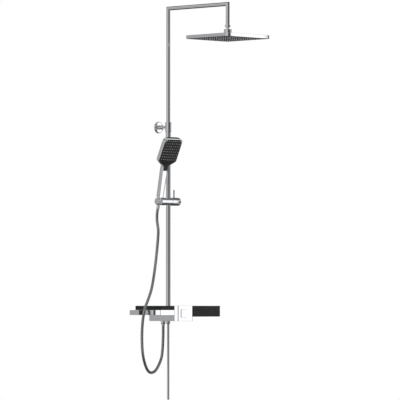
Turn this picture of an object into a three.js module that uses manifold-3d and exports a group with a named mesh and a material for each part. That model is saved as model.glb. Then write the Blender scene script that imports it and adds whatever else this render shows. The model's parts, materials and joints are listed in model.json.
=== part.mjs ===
// Rainfall shower column: a wall-hung mixer with two shelves, a telescopic riser with its arm and rain
// head, a sliding holder with its handset, and the handset's hose. Millimetres, +Z up. The wall is the
// plane Y = 0, the riser stands at X = 0 and the height Z = 0 is the middle of the mixer block.
import * as THREE from 'three';
import { mergeVertices } from 'three/addons/utils/BufferGeometryUtils.js';
import Module from 'manifold-3d';

const wasm = await Module();
wasm.setup();

// ---------------------------------------------------------------- driving dimensions
const gap = 0.3; // clearance between pieces that touch
const rimCut = 1; // how far a cutting tool runs past the face that it opens
const wallToRiser = 72;

const blockWidth = 126;
const blockDepth = 180;
const blockHeight = 76;
const blockWall = 3;
const barrelRadius = 32; // of the casting round the cartridge
const bossWall = 5; // round the casting's pipe seats
const bossRadius = 20; // of the casting's foot on the wall plate

const plateWidth = 100;
const plateHeight = 50;
const plateThickness = 4;

const shelfWall = 3;
const leftShelfLength = 97;
const leftShelfHeight = 21;
const leftWingHeight = 25;
const rightShelfLength = 198;
const rightWingHeight = 22;

const leverLength = 48;
const leverInset = 2; // how far the lever's ends stay inside the shelf's depth
const leverCorner = 14;
const inlayWidth = 26;
const inlayDepth = 10;
const spindleRadius = 7;
const spindleInLever = 22;
const spindleInWing = 45;
const bushWall = 2.7;
const bushLength = 20;

const dialSide = 75;
const dialProud = 3;
const dialCorner = 2;
const hubRadius = 31;
const hubLength = 12;
const buttonSide = 40;
const buttonThickness = 9;
const buttonProud = 3;
const buttonTravel = 3;
const cartridgeRadius = 22;
const cartridgeLength = 53;
const cartridgeNutWall = 3;
const cartridgeNutLength = 7;
const stemRadius = 7;
const stemInCartridge = 26;
const stemInHub = 4;
const rodRadius = 3.2;
const rodInButton = 3;
const rodLength = 52;

const riserRadius = 11.5;
const riserWall = 0.8;
const armRadius = 10;
const armWall = 1.5;
const riserInBlock = 30;
const sleeveHeight = 50;
const sleeveRadius = 15;
const sleeveLip = 4;
const collarHeight = 22;
const collarWall = 1.1;
const bracketHeight = 932; // the bracket's axis
const postRadius = 10.75;
const postLength = 37;
const neckRadius = 6;
const flangeRadius = 29;
const flangeThickness = 9;
const flangeRound = 5;

const telescopeOverlap = 250;
const guideWall = 3;
const guideClearance = 0.15;
const guideLength = 14;
const armHeight = 1526; // the arm's axis
const armReach = 418; // from the riser's axis to the rain head's
const dropLength = 111;

const ballRadius = 13;
const ballBore = 4;
const neckOfBall = 7;
const ballToCollar = 23;
const armCollarRadius = 13.5;
const armCollarHeight = 12;
const armInCollar = 8;
const sealThickness = 1.7;
const socketRadius = 19;
const socketRise = 14;
const socketDrop = 16.7;
const socketMouth = 12;
const spigotRadius = 9.7;
const spigotLength = 5;
const waterBore = 6;

const headSide = 300;
const headThickness = 17;
const headCorner = 18;
const headWall = 2;
const nozzlePlateThickness = 4;
const nozzleRows = 9;
const nozzlePitch = 31;
const nozzleRadius = 2.4;
const nozzleTip = 1.5;
const nozzleHeight = 1.6;

const sliderHeight = 559; // the slider's axis
const sliderRadius = 18.5;
const sliderLeft = 27;
const sliderRight = 16;
const knobRadius = 20;
const knobLength = 58;
const knobRound = 6;
const studRadius = 4;
const studInKnob = 24;
const pinRadius = 3;
const pinPlace = 24; // along the knob from its inner end
const pinHeight = 59; // above the slider's axis
const pinSeat = 8;
const axleRadius = 6;
const axleInSlider = 7;
const axleInHolder = 16;

const holderRadius = 19;
const holderLength = 53;
const holderRound = 5;
const holderBore = 65; // the handset's axis, left of the riser's
const holderSlot = 17;
const holderTilt = THREE.MathUtils.degToRad(12);
const capRadius = 11;
const capThickness = 3;

const nutTop = 22;
const nutTopRadius = 11.5;
const nutWaist = -14;
const nutWaistRadius = 9.6;
const nutGripRadius = 8.2;
const nutBottom = -36;
const threadRadius = 7.7;
const threadLength = 12;
const hoseBore = 5;

const gripWidthLow = 30;
const gripWidthHigh = 43;
const gripDepthLow = 27;
const headDepth = 24;
const gripLength = 128;
const neckLength = 55;
const neckBend = THREE.MathUtils.degToRad(13);
const faceWidth = 124;
const faceLength = 127;
const faceCorner = 24;
const faceRim = 4;
const faceThickness = 3;
const handsetWall = 2.5;
const handsetFoot = 6; // solid length above the thread
const flareStart = 26; // below the top of the bent neck
const flareLength = 36;
const tongueWidth = 30;
const tongueLength = 48; // below the top of the bent neck
const sprayRows = 8;
const sprayColumns = 8;
const sprayPitch = 13.4;
const sprayStart = 14; // above the top of the bent neck
const sprayRadius = 1.9;
const sprayTip = 1.2;
const sprayHeight = 1.2;

const hoseRadius = 7;
const outletPlace = 35; // left of the riser's axis
const outletRadius = 7.5;
const outletInBlock = 12;
const outletBelow = 10;
const outletNutRadius = 12;
const outletNutFoot = 8.5;
const outletNutHeight = 21.7;

const lowerTubeRadius = 6;
const lowerTubeWall = 1.5;
const lowerTubeInBlock = 14;
const lowerTubeEnd = -431;
const lowerNutRadius = 10;
const lowerNutHeight = 15;

// ---------------------------------------------------------------- helpers
const quarter = Math.PI / 2;

// Merges equal corners, drops triangles without area and turns the faces outwards.
function closed(geometry) {
  const bare = geometry.clone();
  bare.deleteAttribute('normal');
  bare.deleteAttribute('uv');
  const merged = mergeVertices(bare, 1e-4);
  const place = merged.getAttribute('position');
  const index = merged.getIndex();
  const corners = [];
  let volume = 0;
  const a = new THREE.Vector3();
  const b = new THREE.Vector3();
  const c = new THREE.Vector3();
  for (let i = 0; i < index.count; i += 3) {
    const triangle = [index.getX(i), index.getX(i + 1), index.getX(i + 2)];
    if (new Set(triangle).size < 3) continue;
    a.fromBufferAttribute(place, triangle[0]);
    b.fromBufferAttribute(place, triangle[1]);
    c.fromBufferAttribute(place, triangle[2]);
    volume += a.dot(b.cross(c));
    corners.push(triangle);
  }
  if (volume < 0) corners.forEach((triangle) => triangle.reverse());
  merged.setIndex(corners.flat());
  return merged;
}

function toSolid(geometry) {
  const merged = closed(geometry);
  const vertProperties = new Float32Array(merged.getAttribute('position').array);
  const triVerts = new Uint32Array(merged.getIndex().array);
  return new wasm.Manifold(new wasm.Mesh({ numProp: 3, vertProperties, triVerts }));
}

function toGeometry(solid) {
  const mesh = solid.getMesh();
  const geometry = new THREE.BufferGeometry();
  geometry.setAttribute('position', new THREE.BufferAttribute(mesh.vertProperties, 3));
  geometry.setIndex(new THREE.BufferAttribute(mesh.triVerts, 1));
  return geometry;
}

function cut(base, ...tools) {
  return toGeometry(tools.reduce((solid, tool) => solid.subtract(toSolid(tool)), toSolid(base)));
}

function join(base, ...others) {
  return toGeometry(others.reduce((solid, other) => solid.add(toSolid(other)), toSolid(base)));
}

function box(x0, x1, y0, y1, z0, z1) {
  const geometry = new THREE.BoxGeometry(x1 - x0, y1 - y0, z1 - z0);
  return geometry.translate((x0 + x1) / 2, (y0 + y1) / 2, (z0 + z1) / 2);
}

// A round bar along Z from z0 to z1.
function rod(radius, z0, z1, sides = 28) {
  const geometry = new THREE.CylinderGeometry(radius, radius, z1 - z0, sides);
  return geometry.rotateX(quarter).translate(0, 0, (z0 + z1) / 2);
}

// A body turned about Z from a profile of [radius, height] points.
function turned(profile, sides = 28) {
  const points = profile.map(([radius, height]) => new THREE.Vector2(radius, height));
  return new THREE.LatheGeometry(points, sides).rotateX(quarter);
}

// A turned ring: the profile closes on itself.
function ring(profile, sides = 28) {
  return turned([...profile, profile[0]], sides);
}

function tubeRing(outer, inner, z0, z1, sides = 28) {
  return ring([[inner, z0], [outer, z0], [outer, z1], [inner, z1]], sides);
}

// Points of an arc about (0, height), from one polar angle to the other, both from +Z.
function arc(radius, from, to, steps, height = 0, across = 0) {
  return Array.from({ length: steps + 1 }, (_, i) => {
    const angle = from + ((to - from) * i) / steps;
    return [across + radius * Math.sin(angle), height + radius * Math.cos(angle)];
  });
}

function roundedSquare(width, height, radius) {
  const shape = new THREE.Shape();
  const x = width / 2 - radius;
  const y = height / 2 - radius;
  shape.absarc(x, y, radius, 0, quarter);
  shape.absarc(-x, y, radius, quarter, 2 * quarter);
  shape.absarc(-x, -y, radius, 2 * quarter, 3 * quarter);
  shape.absarc(x, -y, radius, 3 * quarter, 4 * quarter);
  return shape;
}

// The arcs of the shape get twice as many segments as curveSegments says.
function extruded(shape, z0, z1, curveSegments = 2) {
  const depth = z1 - z0;
  return new THREE.ExtrudeGeometry(shape, { depth, bevelEnabled: false, curveSegments }).translate(0, 0, z0);
}

// A closed skin through rings of equally many points, flat at both ends.
function loft(rings) {
  const count = rings[0].length;
  const geometry = new THREE.BufferGeometry();
  geometry.setFromPoints(rings.flat());
  const index = [];
  for (let i = 0; i + 1 < rings.length; i += 1) {
    for (let j = 0; j < count; j += 1) {
      const a = i * count + j;
      const b = i * count + ((j + 1) % count);
      index.push(a, b, a + count, b, b + count, a + count);
    }
  }
  const last = (rings.length - 1) * count;
  for (let j = 1; j + 1 < count; j += 1) {
    index.push(0, j + 1, j, last, last + j, last + j + 1);
  }
  geometry.setIndex(index);
  return geometry;
}

// ---------------------------------------------------------------- finishes
const finishes = {
  chrome: { color: 0xc8cbd0, roughness: 0.08, metalness: 1 },
  black: { color: 0x1b1c1e, roughness: 0.45, metalness: 0 },
  face: { color: 0x141518, roughness: 0.35, metalness: 0 },
  brass: { color: 0xb08d4a, roughness: 0.35, metalness: 1 },
  steel: { color: 0x9a9da1, roughness: 0.35, metalness: 1 },
  white: { color: 0xe6e6e2, roughness: 0.5, metalness: 0 },
  rubber: { color: 0x26282a, roughness: 0.8, metalness: 0 },
  hose: { color: 0xaeb2b6, roughness: 0.25, metalness: 1 },
};

function piece(parent, name, finish, geometry) {
  const mesh = new THREE.Mesh(closed(geometry), new THREE.MeshStandardMaterial(finishes[finish]));
  mesh.name = name;
  parent.add(mesh);
}

function group(parent, place = [0, 0, 0], turn = [0, 0, 0]) {
  const made = new THREE.Group();
  made.position.set(...place);
  made.rotation.set(...turn);
  parent.add(made);
  return made;
}

const column = new THREE.Group();
const riserAxis = group(column, [0, -wallToRiser, 0]);

// ---------------------------------------------------------------- mixer block and its wall plate
const blockTop = blockHeight / 2;
const side = blockWidth / 2;
const facingOut = [quarter, 0, 0]; // local +Z points away from the wall

// Stations along the control's axis, as distances from the wall.
const hubBack = blockDepth + gap - hubLength;
const nutFront = hubBack - 2 * gap;
const nutBack = nutFront - cartridgeNutLength;
const cartridgeFront = nutBack - gap;
const cartridgeBack = cartridgeFront - cartridgeLength;
const cartridgeNutRadius = cartridgeRadius + cartridgeNutWall;

function onRiser(geometry, x = 0) {
  return geometry.translate(x, -wallToRiser, 0);
}

function outward(geometry) {
  return geometry.rotateX(quarter);
}

// The seats of the riser, the lower tube and the hose outlet, cut through the cover and into the casting.
function pipeSeats() {
  return [
    onRiser(rod(riserRadius + gap, blockTop - riserInBlock, blockTop + rimCut)),
    onRiser(rod(lowerTubeRadius + gap, -blockTop - rimCut, -blockTop + lowerTubeInBlock, 24)),
    onRiser(rod(outletRadius + gap, -blockTop - rimCut, -blockTop + outletInBlock, 24), -outletPlace),
  ];
}

// The square cover, open at the wall, over the casting.
function blockCover() {
  return cut(
    box(-side, side, -blockDepth, 0, -blockTop, blockTop),
    box(
      -side + blockWall, side - blockWall, -blockDepth + blockWall, rimCut,
      -blockTop + blockWall, blockTop - blockWall,
    ),
    outward(rod(hubRadius + gap, blockDepth - blockWall - rimCut, blockDepth + rimCut, 48)),
    ...pipeSeats(),
  );
}

// The casting: a barrel for the cartridge, an upright for the pipes, and a foot on the wall plate.
function valveCasting() {
  const inside = blockTop - blockWall - gap;
  const behind = wallToRiser - riserRadius - bossWall;
  const ahead = wallToRiser + riserRadius + bossWall;
  return cut(
    join(
      outward(rod(barrelRadius, behind, hubBack - gap, 40)),
      box(-outletPlace - outletRadius - bossWall, riserRadius + bossWall, -ahead, -behind, -inside, inside),
      outward(rod(bossRadius, plateThickness + gap, ahead, 32)),
    ),
    outward(rod(cartridgeNutRadius + gap, nutBack, hubBack, 40)),
    outward(rod(cartridgeRadius + gap, cartridgeBack - gap, hubBack, 40)),
    ...pipeSeats(),
  );
}
piece(column, 'mixer_cover', 'chrome', blockCover());
piece(column, 'valve_casting', 'brass', valveCasting());
piece(column, 'wall_plate', 'steel', box(
  -plateWidth / 2, plateWidth / 2, -plateThickness, 0, -plateHeight / 2, plateHeight / 2,
));

// ---------------------------------------------------------------- thermostat, dial and diverter button
const control = group(column, [0, 0, 0], facingOut);
const dialBack = blockDepth + gap;
const dialFront = dialBack + dialProud;
const pocketFloor = dialFront - (buttonThickness - buttonProud) - buttonTravel - gap;
const stemFront = hubBack + stemInHub - gap;
const stemBack = cartridgeFront - stemInCartridge;
const buttonFront = dialFront + buttonProud;
const buttonBack = buttonFront - buttonThickness;
const rodFront = buttonBack + rodInButton - gap;
const rodBack = rodFront - rodLength;

piece(control, 'thermostat_cartridge', 'brass', cut(
  turned([
    [0, cartridgeBack], [cartridgeRadius - 4, cartridgeBack], [cartridgeRadius, cartridgeBack + 8],
    [cartridgeRadius, cartridgeFront], [0, cartridgeFront],
  ], 40),
  rod(stemRadius + gap, stemBack - gap, cartridgeFront + rimCut, 24),
  rod(rodRadius + gap, rodBack - buttonTravel - gap, cartridgeFront, 16),
));
piece(control, 'cartridge_nut', 'brass', tubeRing(cartridgeNutRadius, stemRadius + gap, nutBack, nutFront, 40));
piece(control, 'dial_stem', 'brass', tubeRing(stemRadius, rodRadius + gap, stemBack, stemFront, 24));

function temperatureDial() {
  const window = roundedSquare(buttonSide + 2 * gap, buttonSide + 2 * gap, dialCorner + gap);
  return cut(
    join(
      extruded(roundedSquare(dialSide, dialSide, dialCorner), dialBack, dialFront),
      rod(hubRadius, hubBack, dialBack + dialProud / 2, 48),
    ),
    extruded(window, pocketFloor, dialFront + rimCut),
    rod(stemRadius + gap, hubBack - rimCut, hubBack + stemInHub, 24),
    rod(rodRadius + gap, hubBack - rimCut, dialFront, 16),
  );
}
piece(control, 'temperature_dial', 'chrome', temperatureDial());
piece(control, 'diverter_button', 'chrome', cut(
  extruded(roundedSquare(buttonSide, buttonSide, dialCorner), buttonBack, buttonFront),
  rod(rodRadius + gap, buttonBack - rimCut, buttonBack + rodInButton, 16),
));
piece(control, 'diverter_rod', 'steel', rod(rodRadius, rodBack, rodFront, 16));

// ---------------------------------------------------------------- shelves on each side of the block
// A cover open below, seated on its wing.
function shelfCover(x0, x1, z0, z1) {
  return cut(
    box(x0, x1, -blockDepth, 0, z0, z1),
    box(x0 + shelfWall, x1 - shelfWall, -blockDepth + shelfWall, -shelfWall, z0 - rimCut, z1 - shelfWall),
  );
}
const leftEnd = -side - leftShelfLength;
const leftCoverFoot = blockTop - leftShelfHeight;
const leverTop = leftCoverFoot - gap;
const leverFoot = leftCoverFoot - leftWingHeight;
const leverHeight = (leverTop + leverFoot) / 2;
const leverDepth = -blockDepth / 2;
const rightEnd = side + rightShelfLength;
const rightCoverFoot = -blockTop + rightWingHeight;

piece(column, 'left_shelf_cover', 'black', shelfCover(leftEnd, -side - gap, leftCoverFoot, blockTop));
piece(column, 'right_shelf_cover', 'black', shelfCover(side + gap, rightEnd, rightCoverFoot, blockTop));
piece(column, 'right_wing', 'chrome', cut(
  box(side + gap, rightEnd, -blockDepth, 0, -blockTop, rightCoverFoot - gap),
  box(
    side + gap + shelfWall, rightEnd - shelfWall, -blockDepth + shelfWall, -shelfWall,
    -blockTop + shelfWall, rightCoverFoot,
  ),
));

// ---------------------------------------------------------------- flow lever at the left end
const toTheLeft = [0, -quarter, 0]; // local +Z points to the left
const leverAxis = group(column, [0, leverDepth, leverHeight], toTheLeft);
const wingEnd = -leftEnd;
const leverBack = wingEnd + 2 * gap;
const leverFront = wingEnd + leverLength;
const spindleFront = leverBack + spindleInLever - gap;
const spindleBack = wingEnd - spindleInWing;
const bushRadius = spindleRadius + gap + bushWall;

// Turns a body about Z into one about the lever's axis, in the column's frame.
function onLever(geometry) {
  return geometry.rotateY(-quarter).translate(0, leverDepth, leverHeight);
}

// A tray with a rib across it that carries the lever's spindle.
function wingPocket(y0, y1) {
  return box(leftEnd + shelfWall, -side - gap - shelfWall, y0, y1, leverFoot + shelfWall, leftCoverFoot);
}
const ribHalf = bushRadius + gap + shelfWall;
piece(column, 'left_wing', 'chrome', cut(
  box(leftEnd, -side - gap, -blockDepth, 0, leverFoot, leverTop),
  wingPocket(-blockDepth + shelfWall, leverDepth - ribHalf),
  wingPocket(leverDepth + ribHalf, -shelfWall),
  onLever(rod(bushRadius + gap, wingEnd - bushLength - gap, wingEnd + rimCut)),
  onLever(rod(spindleRadius + gap, spindleBack - gap, wingEnd)),
));
piece(leverAxis, 'lever_bush', 'white', tubeRing(bushRadius, spindleRadius + gap, wingEnd - bushLength, wingEnd));
piece(leverAxis, 'lever_spindle', 'brass', rod(spindleRadius, spindleBack, spindleFront));

// A bar with its two outer corners rounded, as wide as the shelf is deep.
function flowLever() {
  const half = blockDepth / 2 - leverInset;
  const outline = new THREE.Shape();
  outline.moveTo(-leverBack, -half);
  outline.lineTo(-leverBack, half);
  outline.absarc(-leverFront + leverCorner, half - leverCorner, leverCorner, quarter, 2 * quarter);
  outline.absarc(-leverFront + leverCorner, -half + leverCorner, leverCorner, 2 * quarter, 3 * quarter);
  const bar = extruded(outline, leverFoot, leverTop, 4).translate(0, leverDepth, 0);
  return cut(
    bar,
    box(
      -leverFront - rimCut, -leverFront + inlayDepth + gap, leverDepth - inlayWidth / 2 - gap,
      leverDepth + inlayWidth / 2 + gap, leverFoot - rimCut, leverTop + rimCut,
    ),
    onLever(rod(spindleRadius + gap, leverBack - rimCut, leverBack + spindleInLever)),
  );
}
piece(column, 'flow_lever', 'chrome', flowLever());
piece(column, 'lever_inlay', 'black', box(
  -leverFront, -leverFront + inlayDepth, leverDepth - inlayWidth / 2, leverDepth + inlayWidth / 2,
  leverFoot, leverTop,
));

// ---------------------------------------------------------------- lower riser and its wall bracket
const riserFoot = blockTop - riserInBlock + gap;
const sleeveTop = bracketHeight + sleeveHeight / 2;
const sleeveFoot = bracketHeight - sleeveHeight / 2;
const riserTop = sleeveTop - sleeveLip - gap;
const slideBore = armRadius + gap;
const riserBore = riserRadius - riserWall;

piece(riserAxis, 'riser_tube', 'chrome', tubeRing(riserRadius, riserBore, riserFoot, riserTop));
piece(riserAxis, 'bracket_sleeve', 'chrome', ring([
  [riserRadius + gap, sleeveFoot - collarHeight],
  [riserRadius + gap + collarWall, sleeveFoot - collarHeight],
  [riserRadius + gap + collarWall, sleeveFoot],
  [sleeveRadius, sleeveFoot + 1],
  [sleeveRadius, sleeveTop - 1],
  [sleeveRadius - 1, sleeveTop],
  [slideBore, sleeveTop],
  [slideBore, sleeveTop - sleeveLip],
  [riserRadius + gap, sleeveTop - sleeveLip],
], 32));

const bracket = group(column, [0, 0, bracketHeight], facingOut);
piece(bracket, 'bracket_post', 'chrome', cut(
  turned([
    [0, 0], [postRadius, 0], [postRadius, postLength - 2], [postRadius - 2, postLength],
    [neckRadius, postLength], [neckRadius, wallToRiser - sleeveRadius / 2], [0, wallToRiser - sleeveRadius / 2],
  ]),
  new THREE.CylinderGeometry(sleeveRadius + gap, sleeveRadius + gap, sleeveHeight, 32)
    .translate(0, 0, wallToRiser),
));
piece(bracket, 'bracket_flange', 'chrome', ring([
  [postRadius + gap, 0],
  [flangeRadius, 0],
  ...arc(flangeRound, quarter, 0, 5, flangeThickness - flangeRound, flangeRadius - flangeRound),
  [postRadius + gap, flangeThickness],
], 48));

// ---------------------------------------------------------------- telescopic upper riser with its arm
const armFoot = sleeveTop - telescopeOverlap;
const ballHeight = armHeight - dropLength + armInCollar - gap - ballToCollar - armCollarHeight;

// A tube with mitred corners along a path in one plane, X being across it.
function mitredRings(path, radius, sides = 28) {
  return path.map((place, i) => {
    const before = path[Math.max(i - 1, 0)];
    const after = path[Math.min(i + 1, path.length - 1)];
    const arrive = place.clone().sub(before).normalize();
    const leave = after.clone().sub(place).normalize();
    const along = arrive.lengthSq() > 0 ? arrive : leave;
    const bisector = arrive.clone().add(leave).normalize();
    const across = new THREE.Vector3(1, 0, 0);
    const up = along.clone().cross(across);
    return Array.from({ length: sides }, (_, j) => {
      const angle = (2 * Math.PI * j) / sides;
      const point = across.clone().multiplyScalar(radius * Math.cos(angle));
      point.addScaledVector(up, radius * Math.sin(angle));
      point.addScaledVector(along, -point.dot(bisector) / along.dot(bisector));
      return point.add(place);
    });
  });
}

const armPath = [
  new THREE.Vector3(0, 0, armFoot),
  new THREE.Vector3(0, 0, armHeight),
  new THREE.Vector3(0, -armReach, armHeight),
  new THREE.Vector3(0, -armReach, armHeight - dropLength),
];
// The bore starts and ends past the tube's own ends.
function armBore() {
  const path = armPath.map((place) => place.clone());
  path[0].z -= rimCut;
  path[3].z -= rimCut;
  return loft(mitredRings(path, armRadius - armWall));
}
piece(riserAxis, 'arm_tube', 'chrome', cut(loft(mitredRings(armPath, armRadius)), armBore()));
piece(riserAxis, 'guide_bush', 'white', tubeRing(
  riserBore - guideClearance, armRadius - guideWall, armFoot - gap - guideLength, armFoot - gap,
));

// ---------------------------------------------------------------- ball joint and rain head
const ballJoint = group(riserAxis, [0, -armReach, ballHeight]);
const sealRadius = ballRadius + gap + sealThickness;
const cupRadius = sealRadius + gap;
const polar = (radius, across) => Math.asin(across / radius);

piece(ballJoint, 'ball_stem', 'chrome', ring([
  ...arc(ballRadius, Math.PI - polar(ballRadius, ballBore), polar(ballRadius, neckOfBall), 12),
  [neckOfBall, ballToCollar],
  [armCollarRadius - 1, ballToCollar],
  [armCollarRadius, ballToCollar + 1],
  [armCollarRadius, ballToCollar + armCollarHeight - 1],
  [armCollarRadius - 1, ballToCollar + armCollarHeight],
  [armRadius + gap, ballToCollar + armCollarHeight],
  [armRadius + gap, ballToCollar + armCollarHeight - armInCollar],
  [ballBore, ballToCollar + armCollarHeight - armInCollar],
]));
const sealFrom = THREE.MathUtils.degToRad(100);
const sealTo = THREE.MathUtils.degToRad(135);
piece(ballJoint, 'ball_seal', 'rubber', ring([
  ...arc(ballRadius + gap, sealFrom, sealTo, 5),
  ...arc(sealRadius, sealTo, sealFrom, 5),
]));
piece(ballJoint, 'head_socket', 'chrome', ring([
  [socketRadius - 1, -socketDrop],
  [socketRadius, -socketDrop + 1],
  [socketRadius, socketRise - 2],
  [socketRadius - 2, socketRise],
  [socketMouth, socketRise],
  ...arc(cupRadius, polar(cupRadius, socketMouth), Math.PI - polar(cupRadius, waterBore), 12),
  [waterBore, -socketDrop - gap - spigotLength],
  [spigotRadius, -socketDrop - gap - spigotLength],
  [spigotRadius, -socketDrop],
]));

const headTop = -socketDrop - gap;
const headFoot = headTop - headThickness;
const innerSide = headSide - 2 * headWall;
const innerCorner = headCorner - headWall;
piece(ballJoint, 'rain_head_shell', 'chrome', cut(
  extruded(roundedSquare(headSide, headSide, headCorner), headFoot, headTop, 4),
  extruded(roundedSquare(innerSide, innerSide, innerCorner), headFoot - rimCut, headTop - headWall, 4),
  rod(spigotRadius + gap, headTop - headWall - rimCut, headTop + rimCut, 24),
));

// Short soft nozzles in rows under a plate.
function nozzlePlate() {
  const width = innerSide - 2 * gap;
  const plate = extruded(
    roundedSquare(width, width, innerCorner - gap), headFoot, headFoot + nozzlePlateThickness, 4,
  );
  const nozzles = [];
  const first = (-nozzlePitch * (nozzleRows - 1)) / 2;
  for (let i = 0; i < nozzleRows; i += 1) {
    for (let j = 0; j < nozzleRows; j += 1) {
      const cone = new THREE.CylinderGeometry(nozzleRadius, nozzleTip, 2 * nozzleHeight, 6);
      cone.rotateX(quarter).translate(first + i * nozzlePitch, first + j * nozzlePitch, headFoot);
      nozzles.push(cone);
    }
  }
  return join(plate, ...nozzles);
}
piece(ballJoint, 'rain_nozzle_plate', 'face', nozzlePlate());

// ---------------------------------------------------------------- slider, its clamping knob and the holder
const slider = group(riserAxis, [0, 0, sliderHeight]);
const toTheRight = [0, quarter, 0]; // local +Z points to the right
const sliderAxis = group(slider, [0, 0, 0], toTheRight);
const knobBack = sliderRight + gap;
const knobFront = knobBack + knobLength;
const studBack = riserRadius + 2 * gap;
const holderRight = -sliderLeft - gap;
const holderLeft = holderRight - holderLength;

// An upright hole in a body whose axis lies along the slider's.
function upright(geometry) {
  return geometry.rotateY(-quarter);
}

piece(sliderAxis, 'slider_body', 'chrome', cut(
  turned([
    [0, -sliderLeft], [sliderRadius - 1, -sliderLeft], [sliderRadius, -sliderLeft + 1],
    [sliderRadius, sliderRight - 1], [sliderRadius - 1, sliderRight], [0, sliderRight],
  ], 40),
  upright(rod(riserRadius + gap, -sliderRadius - rimCut, sliderRadius + rimCut)),
  rod(studRadius + gap, 0, sliderRight + rimCut, 20),
  rod(axleRadius + gap, -sliderLeft - rimCut, -sliderLeft + axleInSlider, 24),
));
piece(sliderAxis, 'clamp_stud', 'steel', rod(studRadius, studBack, knobBack + studInKnob - gap, 20));
piece(sliderAxis, 'slider_knob', 'chrome', cut(
  turned([
    [0, knobBack], [knobRadius - 1, knobBack], [knobRadius, knobBack + 1],
    ...arc(knobRound, quarter, 0, 5, knobFront - knobRound, knobRadius - knobRound), [0, knobFront],
  ], 40),
  rod(studRadius + gap, knobBack - rimCut, knobBack + studInKnob, 20),
  upright(rod(pinRadius + gap, pinSeat, knobRadius + rimCut, 20)).translate(0, 0, knobBack + pinPlace),
));
piece(slider, 'knob_pin', 'chrome', turned([
  [0, pinSeat + gap], [pinRadius, pinSeat + gap], [pinRadius, pinHeight - 1], [pinRadius - 1, pinHeight],
  [0, pinHeight],
], 20).translate(knobBack + pinPlace, 0, 0));
piece(sliderAxis, 'holder_axle', 'steel', rod(
  axleRadius, holderRight - axleInHolder + gap, -sliderLeft + axleInSlider - gap, 24,
));

const hold = group(slider, [-holderBore, 0, 0], [holderTilt, 0, 0]);

// The nut's outer shape with a margin, long enough to cut through the holder.
function nutRoom(margin) {
  const top = holderRadius + rimCut;
  const slope = (nutTopRadius - nutWaistRadius) / (nutTop - nutWaist);
  return turned([
    [0, -holderRadius - rimCut], [nutGripRadius + margin, -holderRadius - rimCut],
    [nutGripRadius + margin, nutWaist - 2], [nutWaistRadius + margin, nutWaist],
    [nutWaistRadius + margin + slope * (top - nutWaist), top], [0, top],
  ]);
}
function holderShape() {
  const barrel = turned([
    [0, 0],
    ...arc(holderRound, 2 * quarter, quarter, 4, holderRound, holderRadius - holderRound),
    [holderRadius, holderLength - 1], [holderRadius - 1, holderLength], [0, holderLength],
  ], 36).rotateY(quarter).translate(holderLeft + holderBore, 0, 0);
  const tall = holderRadius + rimCut;
  return cut(
    barrel,
    nutRoom(gap),
    box(-holderSlot / 2, holderSlot / 2, -tall, 0, -tall, tall),
    rod(axleRadius + gap, -axleInHolder, rimCut, 24).rotateY(quarter).translate(holderRight + holderBore, 0, 0),
    rod(capRadius + gap, -rimCut, capThickness, 32).rotateY(quarter).translate(holderLeft + holderBore, 0, 0),
  );
}
piece(hold, 'holder', 'chrome', holderShape());
piece(hold, 'holder_cap', 'chrome', rod(capRadius, 0, capThickness - gap, 32)
  .rotateY(quarter).translate(holderLeft + holderBore, 0, 0));

// ---------------------------------------------------------------- handset
piece(hold, 'handset_cone_nut', 'chrome', ring([
  [hoseBore, nutBottom],
  [nutGripRadius, nutBottom],
  [nutGripRadius, nutWaist - 2],
  [nutWaistRadius, nutWaist],
  [nutTopRadius, nutTop - gap],
  [threadRadius + gap, nutTop - gap],
  [threadRadius + gap, nutTop - threadLength - gap],
  [hoseBore, nutTop - threadLength - gap],
]));

const neckFoot = nutTop + gripLength;
const neckTop = neckFoot + neckLength;
const handsetTop = neckTop + faceLength;
const bendRadius = neckLength / neckBend;

// The handset's middle line: a straight grip, an arc, and a straight head. Returns place and lean.
function spine(s) {
  if (s <= neckFoot) return { y: 0, z: s, lean: 0 };
  const lean = (Math.min(s, neckTop) - neckFoot) / bendRadius;
  const past = Math.max(s - neckTop, 0);
  return {
    y: bendRadius * (Math.cos(lean) - 1) - past * Math.sin(lean),
    z: neckFoot + bendRadius * Math.sin(lean) + past * Math.cos(lean),
    lean,
  };
}

// Half the width at a place along the middle line, drawn in from the outline by an inset.
function halfWidth(s, inset = 0) {
  const grip = THREE.MathUtils.mapLinear(Math.min(s, neckTop), nutTop, neckTop, gripWidthLow, gripWidthHigh);
  const begin = neckTop - flareStart;
  const flare = THREE.MathUtils.smoothstep(s, begin, begin + flareLength);
  const full = THREE.MathUtils.lerp(grip, faceWidth, flare) / 2;
  const past = Math.max(s - (handsetTop - faceCorner), 0);
  const corner = faceCorner - inset;
  return full - faceCorner + Math.sqrt(Math.max(corner * corner - past * past, 0));
}

function depthAt(s) {
  const depth = THREE.MathUtils.mapLinear(Math.min(s, neckFoot), nutTop, neckFoot, gripDepthLow, headDepth);
  const past = Math.max(s - (handsetTop - faceRim), 0);
  return depth - 2 * (faceRim - Math.sqrt(faceRim * faceRim - past * past)) * 0.8;
}

// A rounded cross-section at a place along the middle line; the front is towards the room.
function section(s, half, back, front, backRound, frontRound) {
  const { y, z, lean } = spine(s);
  const steps = 3;
  const corners = [[1, front, frontRound], [-1, front, frontRound], [-1, back, backRound], [1, back, backRound]];
  return corners.flatMap(([sign, edge, radius], corner) => Array.from({ length: steps + 1 }, (_, i) => {
    const angle = quarter * (corner + i / steps);
    const outwards = edge === front ? 1 : -1;
    const x = sign * (half - radius) + radius * Math.cos(angle);
    const v = edge - outwards * radius + radius * Math.sin(angle);
    return new THREE.Vector3(x, y - v * Math.cos(lean), z - v * Math.sin(lean));
  }));
}

// Places along the middle line: evenly in a stretch, denser towards the end of a rounded one.
function stations(from, to, count) {
  return Array.from({ length: count }, (_, i) => from + ((to - from) * i) / count);
}
function roundedStations(from, length, count) {
  return Array.from({ length: count + 1 }, (_, i) => from + length * Math.sin((quarter * i) / count));
}

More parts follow.
